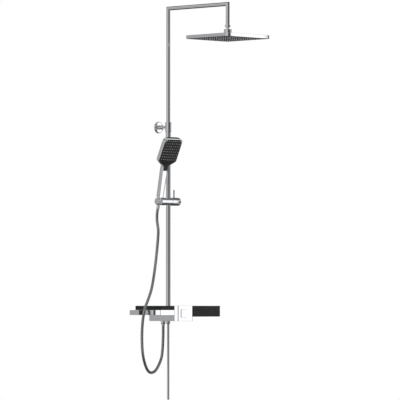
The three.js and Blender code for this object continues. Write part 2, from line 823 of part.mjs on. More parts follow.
// The handset's outer skin, or with an inset its hollow.
function handsetSkin(from, inset) {
  const flare = neckTop - flareStart;
  const round = handsetTop - faceCorner;
  const places = [
    ...stations(from, neckFoot, 4),
    ...stations(neckFoot, flare, 3),
    ...stations(flare, flare + flareLength, 10),
    ...stations(flare + flareLength, round, 2),
    ...roundedStations(round, faceCorner - 0.4 - inset, 8),
  ];
  return loft(places.map((s) => {
    const depth = depthAt(s) / 2 - inset;
    const half = s < round ? halfWidth(s) - inset : halfWidth(s, inset);
    return section(s, half, -depth, depth, 9 - inset, 4 - inset);
  }));
}

function handsetBody() {
  const solidTo = nutTop + handsetFoot;
  return cut(
    join(handsetSkin(nutTop, 0), rod(threadRadius, nutTop - threadLength, nutTop + 4, 24)),
    handsetSkin(solidTo, handsetWall),
    rod(hoseBore, nutTop - threadLength - rimCut, solidTo + rimCut, 20),
    facePlate(gap, rimCut),
  );
}

// The spray nozzles: short cones in rows on the face.
function sprayNozzles() {
  const cones = [];
  const rowPitch = (faceLength - 2 * sprayStart) / (sprayRows - 1);
  for (let i = 0; i < sprayRows; i += 1) {
    const { y, z, lean } = spine(neckTop + sprayStart + i * rowPitch);
    const up = headDepth / 2;
    for (let j = 0; j < sprayColumns; j += 1) {
      const cone = new THREE.CylinderGeometry(sprayTip, sprayRadius, 2 * sprayHeight, 5);
      cone.rotateX(Math.PI + lean);
      const x = sprayPitch * (j - (sprayColumns - 1) / 2);
      cones.push(cone.translate(x, y - up * Math.cos(lean), z - up * Math.sin(lean)));
    }
  }
  return cones;
}

// The black face with its tongue; the margin widens it all round and deepens it.
function facePlate(margin, proud) {
  const from = neckTop - tongueLength - margin;
  const flare = neckTop - flareStart;
  const round = handsetTop - faceCorner;
  const places = [
    ...stations(from, flare, 3),
    ...stations(flare, flare + flareLength, 10),
    ...stations(flare + flareLength, round, 2),
    ...roundedStations(round, faceCorner - faceRim + margin, 8),
  ];
  const front = headDepth / 2;
  const inset = (s) => {
    const side0 = halfWidth(s) - tongueWidth / 2;
    return THREE.MathUtils.lerp(side0, faceRim, THREE.MathUtils.smoothstep(s, from, flare + flareLength / 2));
  };
  return loft(places.map((s) => {
    const half = s < round ? halfWidth(s) - inset(s) + margin : halfWidth(s, faceRim - margin);
    return section(s, half, front - faceThickness - margin, front + proud, 1, 1);
  }));
}
piece(hold, 'handset_shell', 'chrome', handsetBody());
piece(hold, 'handset_face', 'face', join(facePlate(0, 0), ...sprayNozzles()));

// ---------------------------------------------------------------- outlets under the block
const outlet = group(riserAxis, [-outletPlace, 0, 0]);
const stubTop = -blockTop + outletInBlock - gap;
const stubFoot = -blockTop - outletBelow;
const outletNutTop = -blockTop - gap;
const outletNutBottom = outletNutTop - outletNutHeight;
piece(outlet, 'outlet_stub', 'brass', tubeRing(outletRadius, hoseBore, stubFoot, stubTop, 24));
piece(outlet, 'hose_outlet_nut', 'chrome', ring([
  [hoseBore, outletNutBottom],
  [outletNutFoot, outletNutBottom],
  [outletNutFoot, outletNutBottom + 6],
  [outletNutRadius, outletNutBottom + 10],
  [outletNutRadius, outletNutTop],
  [outletRadius + gap, outletNutTop],
  [outletRadius + gap, stubFoot - gap],
  [hoseBore, stubFoot - gap],
]));
piece(riserAxis, 'lower_tube', 'chrome', tubeRing(
  lowerTubeRadius, lowerTubeRadius - lowerTubeWall, lowerTubeEnd, -blockTop + lowerTubeInBlock - gap, 24,
));
piece(riserAxis, 'lower_tube_nut', 'chrome', ring([
  [lowerTubeRadius + gap, -blockTop - gap - lowerNutHeight],
  [lowerNutRadius - 2, -blockTop - gap - lowerNutHeight],
  [lowerNutRadius, -blockTop - gap - lowerNutHeight + 3],
  [lowerNutRadius, -blockTop - gap],
  [lowerTubeRadius + gap, -blockTop - gap],
], 24));

// ---------------------------------------------------------------- hose from the outlet to the handset
const hoseSides = 5; // for each half turn
const hoseUpper = 28; // the length that follows the handset
const hoseMiddle = 58; // the length between that and the part that follows the slider
const hoseSteps = { lower: 44, middle: 4, upper: 2 };

// The point at a height on the holder's tilted axis.
function onHoldAxis(z) {
  return [
    -holderBore, -wallToRiser - z * Math.sin(holderTilt), sliderHeight + z * Math.cos(holderTilt),
  ];
}

// The hose's middle line in the column's frame, from the outlet nut up to the handset's nut.
const hoseRoute = [
  [-outletPlace, -wallToRiser, outletNutBottom - gap],
  [-35, -72, -98],
  [-35.5, -71.4, -133],
  [-38.5, -71.2, -178],
  [-48, -72.1, -223],
  [-72.5, -72.4, -266],
  [-97, -75.7, -287.6],
  [-124.5, -81.2, -294.4],
  [-152.5, -88.9, -288],
  [-178, -97.2, -267],
  [-206, -107.8, -223],
  [-222, -115.4, -178],
  [-232, -122.7, -110],
  [-233.5, -127.4, -58],
  [-231.5, -130.8, -22],
  [-224.5, -132.6, 14],
  [-212.2, -129.2, 37],
  [-194.5, -122.4, 58],
  [-144, -98.6, 117],
  [-115, -85.2, 177],
  [-96, -77.5, 237],
  [-82, -72.7, 297],
  [-72, -70.4, 357],
  [-66, -68.3, 412],
  [-65.2, -63.3, 440],
  [-65, -58.5, 466],
  onHoldAxis(nutBottom - gap - hoseUpper),
  onHoldAxis(nutBottom - gap),
];
const hoseLine = new THREE.CatmullRomCurve3(
  hoseRoute.map((place) => new THREE.Vector3(...place)), false, 'centripetal',
);

// A stretch of the hose's middle line between two distances along it.
class Stretch extends THREE.Curve {
  constructor(from, to) {
    super();
    this.from = from / hoseLine.getLength();
    this.to = to / hoseLine.getLength();
  }

  getPoint(t, target) {
    return hoseLine.getPointAt(THREE.MathUtils.lerp(this.from, this.to, t), target);
  }
}

function hosePiece(from, to, steps) {
  const circle = new THREE.Shape();
  circle.absarc(0, 0, hoseRadius, 0, 2 * Math.PI);
  const extrudePath = new Stretch(from, to);
  return new THREE.ExtrudeGeometry(circle, { steps, curveSegments: hoseSides, extrudePath });
}
const hoseLength = hoseLine.getLength();
const upperFrom = hoseLength - hoseUpper;
const middleFrom = upperFrom - hoseMiddle;
piece(column, 'hose_lower', 'hose', hosePiece(0, middleFrom - gap, hoseSteps.lower));
piece(column, 'hose_middle', 'hose', hosePiece(middleFrom, upperFrom - gap, hoseSteps.middle));
piece(column, 'hose_upper', 'hose', hosePiece(upperFrom, hoseLength, hoseSteps.upper));

export default column;
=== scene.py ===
"""Looks of a wall-hung rainfall shower column: mixer with shelves, riser, rain head, handset and hose.

Every length is in metres. Places and sizes come from the frame's own nodes; the values below are the few that
the looks add. The wall is the plane Y = 0 and the column's front faces -Y.
"""

import json
import math

import bmesh
import bpy
import numpy as np
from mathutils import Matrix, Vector


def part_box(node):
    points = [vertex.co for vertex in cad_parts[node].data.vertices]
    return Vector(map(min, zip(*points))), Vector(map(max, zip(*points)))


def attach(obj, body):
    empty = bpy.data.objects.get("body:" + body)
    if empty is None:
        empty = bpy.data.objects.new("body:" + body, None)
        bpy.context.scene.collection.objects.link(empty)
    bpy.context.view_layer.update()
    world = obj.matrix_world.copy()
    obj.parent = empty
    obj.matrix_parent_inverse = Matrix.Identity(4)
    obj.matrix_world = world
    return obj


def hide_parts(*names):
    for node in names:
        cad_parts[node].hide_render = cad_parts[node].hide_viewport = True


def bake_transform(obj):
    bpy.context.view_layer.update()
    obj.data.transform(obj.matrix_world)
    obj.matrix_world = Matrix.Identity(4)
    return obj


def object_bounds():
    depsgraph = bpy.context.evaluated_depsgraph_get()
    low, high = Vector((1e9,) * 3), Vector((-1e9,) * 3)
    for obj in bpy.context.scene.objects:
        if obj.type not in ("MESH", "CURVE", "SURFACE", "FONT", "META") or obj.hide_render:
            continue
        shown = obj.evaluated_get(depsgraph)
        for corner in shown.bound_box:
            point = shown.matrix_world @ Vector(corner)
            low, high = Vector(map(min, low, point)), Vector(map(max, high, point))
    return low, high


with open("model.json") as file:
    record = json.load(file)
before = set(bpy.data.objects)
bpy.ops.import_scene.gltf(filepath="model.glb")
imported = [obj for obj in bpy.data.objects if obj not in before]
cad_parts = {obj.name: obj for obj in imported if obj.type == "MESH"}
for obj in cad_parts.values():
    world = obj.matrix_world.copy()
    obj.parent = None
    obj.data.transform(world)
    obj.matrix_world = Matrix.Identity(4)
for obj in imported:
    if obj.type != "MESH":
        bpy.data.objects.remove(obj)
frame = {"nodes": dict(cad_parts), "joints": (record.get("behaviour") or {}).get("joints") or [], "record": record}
cad_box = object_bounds()

# ------------------------------------------------------------------ camera
VIEW_WIDTH = 2.0  # how wide the camera sees at the riser
CAMERA_DISTANCE = 19.3
EYE_HEIGHT = 0.017
SENSOR_MM = 36.0
AIM_SIDEWAYS = 0.159  # from the riser to the view's middle, across the view
AIM_HEIGHT = 0.567
FAR_CLIP = 100


def centre(node):
    """The middle of a node's box."""
    low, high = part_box(node)
    return (low + high) / 2


riser = centre("riser_tube")
looking = Vector((1, 1, 0)).normalized()
sideways = Vector((1, -1, 0)).normalized()
aim = riser + AIM_SIDEWAYS * sideways
aim.z = AIM_HEIGHT


def put_camera():
    """A long lens at the mixer's height, square on to the mixer's left front corner."""
    data = bpy.data.cameras.new("camera")
    data.sensor_width = SENSOR_MM
    data.lens = SENSOR_MM * CAMERA_DISTANCE / VIEW_WIDTH
    data.clip_end = FAR_CLIP
    camera = bpy.data.objects.new("camera", data)
    bpy.context.scene.collection.objects.link(camera)
    place = aim - CAMERA_DISTANCE * looking
    place.z = EYE_HEIGHT
    camera.location = place
    camera.rotation_euler = (aim - place).to_track_quat("-Z", "Y").to_euler()
    bpy.context.scene.camera = camera


put_camera()

# ------------------------------------------------------------------ surfaces from grids
STEEP_RIM = math.radians(70)
X_AXIS = np.array([1.0, 0, 0])


def piece_from(name, points, faces, smooth=True):
    """A mesh object from an array of points and an array of faces with equally many corners."""
    mesh = bpy.data.meshes.new(name)
    mesh.from_pydata(points.reshape(-1, 3).tolist(), [], faces.tolist())
    mesh.polygons.foreach_set("use_smooth", np.full(len(mesh.polygons), smooth))
    mesh.update()
    made = bpy.data.objects.new(name, mesh)
    bpy.context.scene.collection.objects.link(made)
    return made


def grid_faces(rows, columns, wrap_rows=False):
    """The quads of a grid of points whose columns wrap round; its rows wrap too if asked."""
    last = rows if wrap_rows else rows - 1
    i, j = np.meshgrid(np.arange(last), np.arange(columns), indexing="ij")
    i_next = (i + 1) % rows
    j_next = (j + 1) % columns
    corners = [i * columns + j, i * columns + j_next, i_next * columns + j_next, i_next * columns + j]
    return np.stack(corners, axis=-1).reshape(-1, 4)


def cap_ends(made, rows, sides):
    """Closes a tube's two ends with flat faces, with a sharp rim where they meet the side at a steep angle."""
    mesh = made.data
    work = bmesh.new()
    work.from_mesh(mesh)
    work.verts.ensure_lookup_table()
    first = [work.verts[k] for k in range(sides)]
    last = [work.verts[(rows - 1) * sides + k] for k in range(sides)]
    caps = [work.faces.new(first), work.faces.new(last[::-1])]
    bmesh.ops.recalc_face_normals(work, faces=work.faces)
    for cap in caps:
        for edge in cap.edges:
            edge.smooth = edge.calc_face_angle() < STEEP_RIM
    work.to_mesh(mesh)
    work.free()


# ------------------------------------------------------------------ the hose
HOSE_DIAMETER = 0.014
HOSE_UPPER = 0.028  # the length that follows the handset
HOSE_MIDDLE = 0.058  # the length between that and the part that follows the slider
HOSE_STEP = 0.004  # between two rings of the hose
HOSE_SIDES = 24
ROUTE_STEPS = 24
SLOPE_STEP = 0.0005  # half the stretch over which the hose's direction is taken
END_MARGIN = 0.001  # how far inside the ends that direction is taken
SWING_NORMAL = np.array([0.35, -0.94, 0.0])  # level, and roughly square to the plane that the loop hangs in
HOSE_ROUTE = np.array([
    [-0.035, -0.072, -0.0603],
    [-0.035, -0.072, -0.098],
    [-0.0355, -0.0714, -0.133],
    [-0.0385, -0.0712, -0.178],
    [-0.048, -0.0721, -0.223],
    [-0.0725, -0.0724, -0.266],
    [-0.097, -0.0757, -0.2876],
    [-0.1245, -0.0812, -0.2944],
    [-0.1525, -0.0889, -0.288],
    [-0.178, -0.0972, -0.267],
    [-0.206, -0.1078, -0.223],
    [-0.222, -0.1154, -0.178],
    [-0.232, -0.1227, -0.11],
    [-0.2335, -0.1274, -0.058],
    [-0.2315, -0.1308, -0.022],
    [-0.2245, -0.1326, 0.014],
    [-0.2122, -0.1292, 0.037],
    [-0.1945, -0.1224, 0.058],
    [-0.144, -0.0986, 0.117],
    [-0.115, -0.0852, 0.177],
    [-0.096, -0.0775, 0.237],
    [-0.082, -0.0727, 0.297],
    [-0.072, -0.0704, 0.357],
    [-0.066, -0.0683, 0.412],
    [-0.0652, -0.0633, 0.44],
    [-0.065, -0.0585, 0.466],
    [-0.065, -0.0586314, 0.4961048],
    [-0.065, -0.0644529, 0.5234931],
])


def smooth_line(route):
    """A smooth line through the route: on each span a cubic that leaves and arrives along slopes worked out
    from the neighbouring points, each counted by the square root of its distance."""
    before = 2 * route[0] - route[1]
    after = 2 * route[-1] - route[-2]
    p = np.vstack([before, route, after])
    span = np.linalg.norm(np.diff(p, axis=0), axis=1)[:, None] ** 0.5
    a, b, c = span[:-2], span[1:-1], span[2:]
    p0, p1, p2, p3 = p[:-3], p[1:-2], p[2:-1], p[3:]
    leave = ((p1 - p0) / a - (p2 - p0) / (a + b) + (p2 - p1) / b) * b
    arrive = ((p2 - p1) / b - (p3 - p1) / (b + c) + (p3 - p2) / c) * b
    t = np.linspace(0, 1, ROUTE_STEPS, endpoint=False)[None, :, None]
    p1, p2, leave, arrive = (x[:, None, :] for x in (p1, p2, leave, arrive))
    line = (2 * t**3 - 3 * t**2 + 1) * p1 + (t**3 - 2 * t**2 + t) * leave
    line = line + (3 * t**2 - 2 * t**3) * p2 + (t**3 - t**2) * arrive
    return np.vstack([line.reshape(-1, 3), route[-1]])


def distances(line):
    """The distance from the line's start to each of its points."""
    return np.concatenate([[0], np.cumsum(np.linalg.norm(np.diff(line, axis=0), axis=1))])


hose_line = smooth_line(HOSE_ROUTE)
hose_way = distances(hose_line)
hose_length = hose_way[-1]


def on_hose(way):
    """The hose's points at given distances along it."""
    return np.stack([np.interp(way, hose_way, hose_line[:, k]) for k in range(3)], axis=-1)


def hose_frames(way):
    """Two unit directions across the hose at each point: one level across the swing of the hose, one at
    right angles to it and to the hose."""
    along = on_hose(way + SLOPE_STEP) - on_hose(way - SLOPE_STEP)
    along /= np.linalg.norm(along, axis=1)[:, None]
    level = np.cross(along, SWING_NORMAL)
    level /= np.linalg.norm(level, axis=1)[:, None]
    return level, np.cross(along, level)


def hose_piece(name, start, end):
    """A stretch of hose between two distances along its line, with flat ends.

    point(s, angle) = line(s) + radius (level(s) cos angle + upright(s) sin angle)
    Its map runs once round the hose and in metres along it.
    """
    sides = HOSE_SIDES
    rows = max(int((end - start) / HOSE_STEP), 4) + 1
    way = np.linspace(start, end, rows)
    middle = on_hose(way)
    level, upright = hose_frames(np.clip(way, END_MARGIN, hose_length - END_MARGIN))
    angle = np.linspace(0, 2 * np.pi, sides, endpoint=False)[None, :, None]
    across = level[:, None, :] * np.cos(angle) + upright[:, None, :] * np.sin(angle)
    points = middle[:, None, :] + HOSE_DIAMETER / 2 * across
    made = piece_from(name, points, grid_faces(rows, sides)[:, ::-1])
    turn, length = np.meshgrid(np.arange(sides + 1) / sides, way)
    corner = [(0, 0), (0, 1), (1, 1), (1, 0)][::-1]
    i, j = np.meshgrid(np.arange(rows - 1), np.arange(sides), indexing="ij")
    uv = np.stack([
        np.stack([turn[i + di, j + dj], length[i + di, j + dj]], axis=-1)
        for di, dj in corner
    ], axis=2)
    layer = made.data.uv_layers.new(name="hose")
    layer.data.foreach_set("uv", uv.astype(np.float32).ravel())
    cap_ends(made, rows, sides)
    return made, middle


upper_from = hose_length - HOSE_UPPER
middle_from = upper_from - HOSE_MIDDLE
hose_lower, lower_path = hose_piece("hose_main", 0, middle_from)
hose_middle, _ = hose_piece("hose_bend", middle_from, upper_from)
hose_upper, _ = hose_piece("hose_tail", upper_from, hose_length)
for part, node in ((hose_lower, "hose_lower"), (hose_middle, "hose_middle"), (hose_upper, "hose_upper")):
    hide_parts(node)

# ------------------------------------------------------------------ the handset
JOINTS = {joint["name"]: joint for joint in frame["joints"]}
seat = np.array(JOINTS["holder_tilt"]["pos_m"], float)
grip_up = np.array(JOINTS["handset_lift"]["axis"], float)
grip_back = np.array([0.0, grip_up[2], -grip_up[1]])

NUT_TOP = 0.022
GRIP_LENGTH = 0.128
NECK_LENGTH = 0.055
NECK_BEND = math.radians(13)
GRIP_WIDTH = (0.030, 0.043)
GRIP_DEPTH = (0.027, 0.024)
SPRAY_WIDTH = 0.124
SPRAY_LENGTH = 0.127
SPRAY_CORNER = 0.024
SPRAY_RIM = 0.004
RIM_DROP = 0.8  # the share of a full quarter round that the upper rim falls away by
SHELL_BACK_ROUND = 0.009
SHELL_FRONT_ROUND = 0.004
FACE_CORNER = 0.028
FACE_THICKNESS = 0.002
FACE_PROUD = 0.0003
FACE_ROUND = 0.0006
TIP_GAP = 0.00002  # how far below the top edge the last section lies
FLARE_BELOW = 0.026
FLARE_LENGTH = 0.036
TONGUE_WIDTH = 0.030
TONGUE_LENGTH = 0.048
SHELL_STATIONS = (26, 26, 24)  # in the grip, in the flare and over the top edge
FACE_STATIONS = (14, 26, 24)
HEAD_STATIONS = 6
neck_foot = NUT_TOP + GRIP_LENGTH
neck_top = neck_foot + NECK_LENGTH
handset_top = neck_top + SPRAY_LENGTH
neck_radius = NECK_LENGTH / NECK_BEND


def smooth_step(x, low, high):
    """0 before low, 1 after high, and 3 t^2 - 2 t^3 between them."""
    t = np.clip((x - low) / (high - low), 0, 1)
    return t * t * (3 - 2 * t)


def spine(s):
    """The handset's middle line, in its own upright plane: straight, then an arc, then straight again.

    lean(s) = share of the neck passed, over its radius; y and z follow the arc's sine and cosine.
    """
    lean = (np.clip(s, neck_foot, neck_top) - neck_foot) / neck_radius
    past = np.maximum(s - neck_top, 0)
    y = neck_radius * (np.cos(lean) - 1) - past * np.sin(lean)
    z = np.minimum(s, neck_foot) + neck_radius * np.sin(lean) + past * np.cos(lean)
    return y, z, lean


def half_width(s, inset=0.0, corner=SPRAY_CORNER):
    """Half the handset's width: the grip's taper, then the flare to the spray head, then the round corners."""
    grip = np.interp(s, [NUT_TOP, neck_top], GRIP_WIDTH)
    flare = smooth_step(s, neck_top - FLARE_BELOW, neck_top - FLARE_BELOW + FLARE_LENGTH)
    full = (grip + (SPRAY_WIDTH - grip) * flare) / 2
    past = np.maximum(s - (handset_top - inset - corner), 0)
    return full - inset - corner + np.sqrt(np.maximum(corner**2 - past**2, 0))


def half_depth(s):
    """Half the handset's thickness: the grip's taper, and the rounded upper rim."""
    depth = np.interp(s, [NUT_TOP, neck_foot], GRIP_DEPTH)
    past = np.maximum(s - (handset_top - SPRAY_RIM), 0)
    return depth / 2 - (SPRAY_RIM - np.sqrt(np.maximum(SPRAY_RIM**2 - past**2, 0))) * RIM_DROP


def in_hand(x, y, z):
    """Points given across, behind and up the tilted grip, as points of the column's frame."""
    return seat + x[..., None] * X_AXIS + y[..., None] * grip_back + z[..., None] * grip_up


def rounded_sections(s, half, back, front, back_round, front_round, steps=7):
    """Rounded four-cornered sections along the spine: at each corner an arc of its own radius.

    across = +-(half - radius) + radius cos angle; ahead = edge -+ radius + radius sin angle.
    Both are then leaned by the spine.
    """
    y, z, lean = (v[:, None] for v in spine(s))
    corner = np.repeat(np.arange(4), steps + 1)
    angle = np.pi / 2 * (corner + np.tile(np.linspace(0, 1, steps + 1), 4))
    sign = np.array([1, -1, -1, 1])[corner]
    ahead = corner < 2
    radius = np.where(ahead, front_round, back_round)
    edge = np.where(ahead, np.asarray(front)[:, None], np.asarray(back)[:, None])
    x = sign * (half[:, None] - radius) + radius * np.cos(angle)
    v = edge - np.where(ahead, 1, -1) * radius + radius * np.sin(angle)
    return in_hand(x, y - v * np.cos(lean), z - v * np.sin(lean))


def lofted(name, sections):
    """A closed skin over a stack of sections, flat at both ends."""
    rows, columns = sections.shape[:2]
    made = piece_from(name, sections, grid_faces(rows, columns))
    cap_ends(made, rows, columns)
    return made


def spray_places(start, end, stations):
    """Stations along the spine: even below and in the flare, and closer together towards the top edge."""
    count_low, count_flare, count_top = stations
    flare = neck_top - FLARE_BELOW
    round_from = handset_top - SPRAY_CORNER
    top = round_from + (end - round_from) * np.sin(np.linspace(0, np.pi / 2, count_top))
    return np.concatenate([
        np.linspace(start, flare, count_low, endpoint=False),
        np.linspace(flare, flare + FLARE_LENGTH, count_flare, endpoint=False),
        np.linspace(flare + FLARE_LENGTH, round_from, HEAD_STATIONS, endpoint=False),
        top,
    ])


def handset_shell():
    """The chromed shell: a tapering grip that bends and flares into the square spray head."""
    s = spray_places(NUT_TOP, handset_top - TIP_GAP, SHELL_STATIONS)
    depth = half_depth(s)
    sections = rounded_sections(s, half_width(s), -depth, depth, SHELL_BACK_ROUND, SHELL_FRONT_ROUND)
    return lofted("handset_body", sections)


def handset_face():
    """The black spray face: it follows the head's outline inside the rim, and runs down into a tongue."""
    start = neck_top - TONGUE_LENGTH
    s = spray_places(start, handset_top - SPRAY_RIM - TIP_GAP, FACE_STATIONS)
    own = half_width(s)
    share = smooth_step(s, start, neck_top - FLARE_BELOW + FLARE_LENGTH / 2)
    below = own - ((own - TONGUE_WIDTH / 2) * (1 - share) + SPRAY_RIM * share)
    half = np.minimum(below, half_width(s, SPRAY_RIM, FACE_CORNER))
    front = np.full(len(s), GRIP_DEPTH[1] / 2 + FACE_PROUD)
    sections = rounded_sections(s, half, front - FACE_THICKNESS, front, FACE_ROUND, FACE_ROUND)
    return lofted("handset_spray_face", sections)


NOZZLE_SIDES = 8


def small_nozzles(name, places, outward, across, profile):
    """Many small turned nozzles: the same profile of (radius, height) at each place along its outward line."""
    sides = NOZZLE_SIDES
    radius, height = np.array(profile, float).T
    angle = np.linspace(0, 2 * np.pi, sides, endpoint=False)
    third = np.cross(outward, across)
    ring = np.cos(angle)[:, None] * across + np.sin(angle)[:, None] * third
    one = radius[:, None, None] * ring[None] + height[:, None, None] * outward
    points = places[:, None, None, :] + one[None]
    rows = len(profile)
    faces = grid_faces(rows, sides)
    shift = np.arange(len(places))[:, None, None] * rows * sides
    return piece_from(name, points, (faces[None] + shift).reshape(-1, 4))


HANDSET_ROWS = 8
HANDSET_PITCH = 0.0134
HANDSET_START = 0.014
NOZZLE_FOOT = 0.0002  # how far a nozzle's foot stands before the shell's front
NOZZLE_PROFILE = [
    (0.0027, 0.0), (0.0026, 0.0006), (0.0021, 0.0009),
    (0.0019, 0.0019), (0.0010, 0.0021), (0.0001, 0.0018),
]


def handset_nozzles():
    """Soft nozzles in even rows over the spray face."""
    s = np.linspace(neck_top + HANDSET_START, handset_top - HANDSET_START, HANDSET_ROWS)
    x = HANDSET_PITCH * (np.arange(HANDSET_ROWS) - (HANDSET_ROWS - 1) / 2)
    s, x = (v.ravel() for v in np.meshgrid(s, x))
    y, z, lean = spine(s)
    up = GRIP_DEPTH[1] / 2 + NOZZLE_FOOT
    places = in_hand(x, y - up * np.cos(lean), z - up * np.sin(lean))
    outward = in_hand(np.array(0.0), -np.cos(NECK_BEND), -np.sin(NECK_BEND)) - seat
    outward = outward.ravel() / np.linalg.norm(outward)
    return small_nozzles("handset_nozzles", places, outward, X_AXIS, NOZZLE_PROFILE)


body = handset_shell()
face = handset_face()
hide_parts("handset_shell")
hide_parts("handset_face")
jets = handset_nozzles()

# ------------------------------------------------------------------ rain head nozzles
RAIN_ROWS = 17
RAIN_PITCH = 0.0155
RAIN_PROFILE = [
    (0.0038, 0.0), (0.0037, 0.0005), (0.0030, 0.0008),
    (0.0026, 0.0021), (0.0014, 0.0023), (0.0002, 0.0020),
]


def rain_nozzles():
    """The rain head's soft nozzles, in even rows under its plate."""
    low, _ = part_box("rain_head_shell")
    middle = centre("rain_head_shell")
    grid = RAIN_PITCH * (np.arange(RAIN_ROWS) - (RAIN_ROWS - 1) / 2)
    x, y = (v.ravel() for v in np.meshgrid(grid, grid))
    places = np.stack([middle.x + x, middle.y + y, np.full(len(x), low.z)], axis=-1)
    down = np.array([0.0, 0, -1])
    return small_nozzles("rain_nozzles", places, down, X_AXIS, RAIN_PROFILE)


rain = rain_nozzles()

# ------------------------------------------------------------------ painted shadow gaps round the mixer's dial and button
SHADOW_GAP_CORNER = 0.0024
INNER_CORNER = 0.8  # the inner square's corner radius, as a share of the outer one's
SHADOW_GAP_MARGIN = 0.0010  # how much wider a painted shadow gap is than the square that it runs round
DIAL_SHADOW_GAP_UNDER = 0.006  # how much narrower than the dial the painted shadow gap's inner square is
DIAL_SHADOW_GAP_BACK = 0.00002  # how far before the cover the dial's painted shadow gap starts
DIAL_SHADOW_GAP_FRONT = 0.00027
BUTTON_SHADOW_GAP_CLEARANCE = 0.00015  # how much wider than the button the inner square of its painted shadow gap is
BUTTON_SHADOW_GAP_BACK = 0.0008  # how far behind the dial's front the button's painted shadow gap starts
BUTTON_SHADOW_GAP_FRONT = 0.0002


def square_frame(name, middle, outer, inner, back, front, steps=6):
    """A thin upright frame round a square: an outer and an inner rounded square, each at two distances from
    the wall. corner point = +-(side / 2 - radius) + radius (cos, sin) of its angle."""
    quarter = np.repeat(np.arange(4), steps + 1)
    angle = np.pi / 2 * (quarter + np.tile(np.linspace(0, 1, steps + 1), 4))
    sx = np.array([1, -1, -1, 1])[quarter]
    sz = np.array([1, 1, -1, -1])[quarter]

    def outline(side, y):
        radius = SHADOW_GAP_CORNER if side == outer else SHADOW_GAP_CORNER * INNER_CORNER
        x = sx * (side / 2 - radius) + radius * np.cos(angle)
        z = sz * (side / 2 - radius) + radius * np.sin(angle)
        return np.stack([middle.x + x, np.full(len(x), y), middle.z + z], axis=-1)

    points = np.stack([
        outline(outer, back), outline(outer, front), outline(inner, front), outline(inner, back),
    ])
    return piece_from(name, points, grid_faces(4, points.shape[1], wrap_rows=True))


dial_low, dial_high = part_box("temperature_dial")
cover_low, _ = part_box("mixer_cover")
button_low, button_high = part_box("diverter_button")
dial_side = dial_high.x - dial_low.x
button_side = button_high.x - button_low.x
# Thin black frames, slightly proud, round the dial and the button: painted shadow that stands in for the shade in
# the gaps round them.
dial_painted_shadow_gap = square_frame(
    "dial_painted_shadow_gap", centre("temperature_dial"), dial_side + SHADOW_GAP_MARGIN, dial_side - DIAL_SHADOW_GAP_UNDER,
    cover_low.y - DIAL_SHADOW_GAP_BACK, cover_low.y - DIAL_SHADOW_GAP_FRONT,
)
button_painted_shadow_gap = square_frame(
    "button_painted_shadow_gap", centre("diverter_button"), button_side + SHADOW_GAP_MARGIN, button_side + BUTTON_SHADOW_GAP_CLEARANCE,
    dial_low.y + BUTTON_SHADOW_GAP_BACK, dial_low.y - BUTTON_SHADOW_GAP_FRONT,
)

# ------------------------------------------------------------------ finishes


class Finish:
    """A material under construction: its node tree and a few ways to add to it."""

    def __init__(self, name):
        self.material = bpy.data.materials.new(name)
        self.material.use_nodes = True
        self.nodes = self.material.node_tree.nodes
        self.links = self.material.node_tree.links
        self.shader = self.nodes["Principled BSDF"]
        self.coordinates = self.nodes.new("ShaderNodeTexCoord")

    def set(self, **values):
        for name, value in values.items():
            self.shader.inputs[name.replace("_", " ")].default_value = value
        return self

    def add(self, kind, **values):
        node = self.nodes.new(kind)
        for name, value in values.items():
            if name in node.inputs:
                node.inputs[name].default_value = value
            else:
                setattr(node, name, value)
        return node

    def join(self, source, target):
        self.links.new(source, target)

    def noise(self, scale, detail=3.0, stretch=(1, 1, 1), by="Object"):
        mapping = self.add("ShaderNodeMapping")
        mapping.inputs["Scale"].default_value = stretch
        texture = self.add("ShaderNodeTexNoise", Scale=scale, Detail=detail)
        self.join(self.coordinates.outputs[by], mapping.inputs["Vector"])
        self.join(mapping.outputs["Vector"], texture.inputs["Vector"])
        return texture.outputs["Fac"]

    def between(self, source, low, high, start=0.3, end=0.7):
        """A value that goes from low to high as the source goes from start to end."""
        node = self.add("ShaderNodeMapRange")
        node.inputs["From Min"].default_value = start
        node.inputs["From Max"].default_value = end
        node.inputs["To Min"].default_value = low
        node.inputs["To Max"].default_value = high
        self.join(source, node.inputs["Value"])
        return node.outputs["Result"]

    def colours(self, source, first, second):
        ramp = self.add("ShaderNodeValToRGB")
        ramp.color_ramp.elements[0].color = (*first, 1)
        ramp.color_ramp.elements[1].color = (*second, 1)
        ramp.color_ramp.elements[0].position = 0.3
        ramp.color_ramp.elements[1].position = 0.7
        self.join(source, ramp.inputs["Fac"])
        self.join(ramp.outputs["Color"], self.shader.inputs["Base Color"])

    def relief(self, height, depth):
        """Raises the surface by the height's value times depth, in metres."""
        bump = self.add("ShaderNodeBump", Strength=1.0, Distance=depth)
        self.join(height, bump.inputs["Height"])
        self.join(bump.outputs["Normal"], self.shader.inputs["Normal"])

    def rough(self, source):
        self.join(source, self.shader.inputs["Roughness"])


def polished_chrome():
    """Bright plating with a faint film, and the slow waviness that polishing leaves."""
    made = Finish("polished_chrome").set(Metallic=1.0)
    film = made.noise(9.0, 4.0)
    made.colours(film, (0.80, 0.81, 0.83), (0.84, 0.85, 0.865))
    made.rough(made.between(made.noise(38.0, 5.0), 0.035, 0.075))
    made.relief(made.noise(14.0, 1.0), 0.000006)
    return made.material


def satin_black():
    """Moulded black cover with a fine even grain."""
    made = Finish("satin_black").set(Metallic=0.0)
    made.shader.inputs["Specular IOR Level"].default_value = 0.45
    made.colours(made.noise(6.0, 3.0), (0.007, 0.0073, 0.008), (0.011, 0.0113, 0.012))
    made.rough(made.between(made.noise(60.0, 4.0), 0.34, 0.44))
    made.relief(made.noise(2600.0, 2.0), 0.00002)
    return made.material


def nozzle_face_black():
    """The spray faces' black moulding, a little smoother than the covers."""
    made = Finish("nozzle_face_black").set(Metallic=0.0)
    made.colours(made.noise(10.0, 3.0), (0.010, 0.0105, 0.0115), (0.015, 0.0155, 0.0165))
    made.rough(made.between(made.noise(45.0, 4.0), 0.3, 0.4))
    made.relief(made.noise(1800.0, 2.0), 0.00001)
    return made.material


